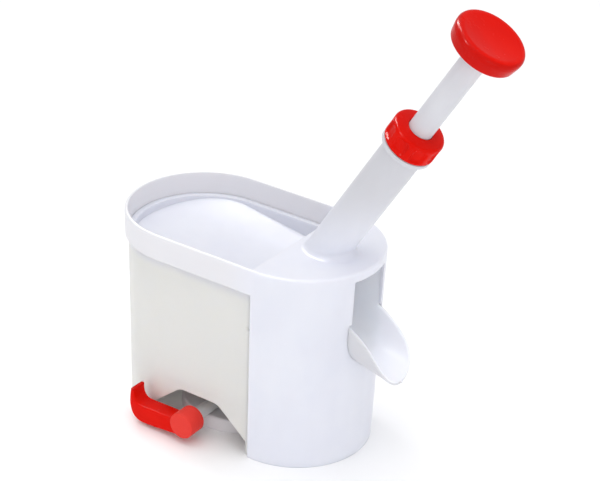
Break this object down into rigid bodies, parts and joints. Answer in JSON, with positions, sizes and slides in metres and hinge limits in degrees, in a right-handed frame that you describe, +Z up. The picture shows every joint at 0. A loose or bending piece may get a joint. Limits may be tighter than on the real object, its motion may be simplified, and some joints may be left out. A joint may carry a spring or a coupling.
{
  "type": "cherry pitter",
  "caption": "Table-top cherry pitter: oval body with hopper, leaning spring plunger, fruit chute, frosted stone bin and a suction foot with a lever.",
  "frame": {"origin": "on the table, under the middle of the oval body", "axes": "+Z up, +X towards the fruit chute, -Y towards the side with the suction lever"},
  "size_m": [0.2549, 0.1142, 0.3005],
  "materials": {
    "white_plastic": "white moulded plastic, soft gloss",
    "red_plastic": "bright red moulded plastic, glossy",
    "frosted_plastic": "frosted see-through plastic",
    "soft_rubber": "soft grey food-grade rubber",
    "steel": "stainless steel, finely brushed"
  },
  "bodies": {
    "base": {"stone_container": "frosted_plastic", "foot_plate": "white_plastic", "foot_screws": "steel", "suction_cup": "soft_rubber"},
    "top": {"main_housing": "white_plastic", "hopper_tray": "white_plastic", "tray_screws": "steel", "pocket_cup": "white_plastic", "pocket_screws": "steel", "cherry_seat": "soft_rubber", "seat_ring": "white_plastic", "outlet_chute": "white_plastic", "stripper_ring": "steel", "spring_washer": "steel", "return_spring": "steel", "guide_bush": "white_plastic", "barrel_nut": "red_plastic", "housing_base": "white_plastic", "base_screws": "steel", "rubber_feet": "soft_rubber"},
    "plunger": {"plunger_rod": "white_plastic", "plunger_knob": "red_plastic", "spike_holder": "white_plastic", "pitting_spike": "steel", "spike_pin": "steel"},
    "lever": {"suction_lever": "red_plastic", "cam_shaft": "steel", "lever_pin": "steel"},
    "cup_lifter": {"cup_stem": "white_plastic"}
  },
  "joints": [
    {"name": "top_lift", "type": "slide", "parent": "base", "child": "top", "axis": [0, 0, 1], "range_m": [0, 0.06]},
    {"name": "plunger_press", "type": "slide", "parent": "top", "child": "plunger", "axis": [-0.518, 0, -0.8554], "range_m": [0, 0.06], "stiffness_N_per_m": 250, "springref_m": -0.03, "deforming": ["return_spring"]},
    {"name": "lever_turn", "type": "hinge", "parent": "base", "child": "lever", "pos_m": [-0.0065, 0, 0.0132], "axis": [0, 1, 0], "range_deg": [0, 90]},
    {"name": "cup_lift", "type": "slide", "parent": "base", "child": "cup_lifter", "axis": [0, 0, 1], "range_m": [-0.00255, 0], "deforming": ["suction_cup"]}
  ],
  "couplings": [
    {"joint": "lever_turn", "follows": "cup_lift", "rad_per_m": -617}
  ]
}
